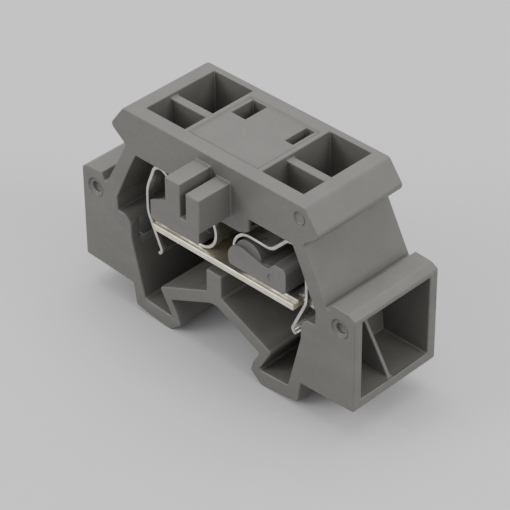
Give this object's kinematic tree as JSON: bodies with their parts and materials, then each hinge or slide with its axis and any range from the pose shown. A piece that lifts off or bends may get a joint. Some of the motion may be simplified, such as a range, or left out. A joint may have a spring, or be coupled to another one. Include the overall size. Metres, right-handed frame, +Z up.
{
  "type": "rail terminal block",
  "caption": "Miniature rail terminal block with sprung cage clamps in an open-sided moulding, wire funnels at both ends and a sprung foot.",
  "frame": {"origin": "middle of the base of the whole block, fork included, on the plane of the foot's soles", "axes": "+X along the block, across the rail; +Y along the rail towards the closed side; +Z up, away from the rail"},
  "size_m": [0.0318, 0.0136, 0.0206],
  "materials": {
    "moulding": "fine satin polyamide, mid grey",
    "seat": "satin polyamide, paler grey",
    "bar": "tinned copper, bright with a straw tint",
    "spring": "bright spring steel strip"
  },
  "bodies": {
    "root": {"housing": "moulding", "current_bar": "bar", "spring_seat_left": "seat", "spring_seat_right": "seat", "clamp_spring_front_left": "spring", "clamp_spring_rear_left": "spring", "clamp_spring_front_right": "spring", "clamp_spring_rear_right": "spring"},
    "clamp_front_left": {"clamp_cage_front_left": "spring"},
    "clamp_rear_left": {"clamp_cage_rear_left": "spring"},
    "clamp_front_right": {"clamp_cage_front_right": "spring"},
    "clamp_rear_right": {"clamp_cage_rear_right": "spring"}
  },
  "joints": [
    {"name": "clamp_open_front_left", "type": "hinge", "parent": "root", "child": "clamp_front_left", "pos_m": [-0.00205, -0.00075, 0.01232], "axis": [0, -1, 0], "range_deg": [0, 12], "stiffness_Nm_per_rad": 0.25, "springref_deg": -2.86},
    {"name": "clamp_open_rear_left", "type": "hinge", "parent": "root", "child": "clamp_rear_left", "pos_m": [-0.00205, 0.00395, 0.01232], "axis": [0, -1, 0], "range_deg": [0, 12], "stiffness_Nm_per_rad": 0.25, "springref_deg": -2.86},
    {"name": "clamp_open_front_right", "type": "hinge", "parent": "root", "child": "clamp_front_right", "pos_m": [0.00375, -0.00075, 0.01232], "axis": [0, 1, 0], "range_deg": [0, 12], "stiffness_Nm_per_rad": 0.25, "springref_deg": -2.86},
    {"name": "clamp_open_rear_right", "type": "hinge", "parent": "root", "child": "clamp_rear_right", "pos_m": [0.00375, 0.00395, 0.01232], "axis": [0, 1, 0], "range_deg": [0, 12], "stiffness_Nm_per_rad": 0.25, "springref_deg": -2.86}
  ]
}
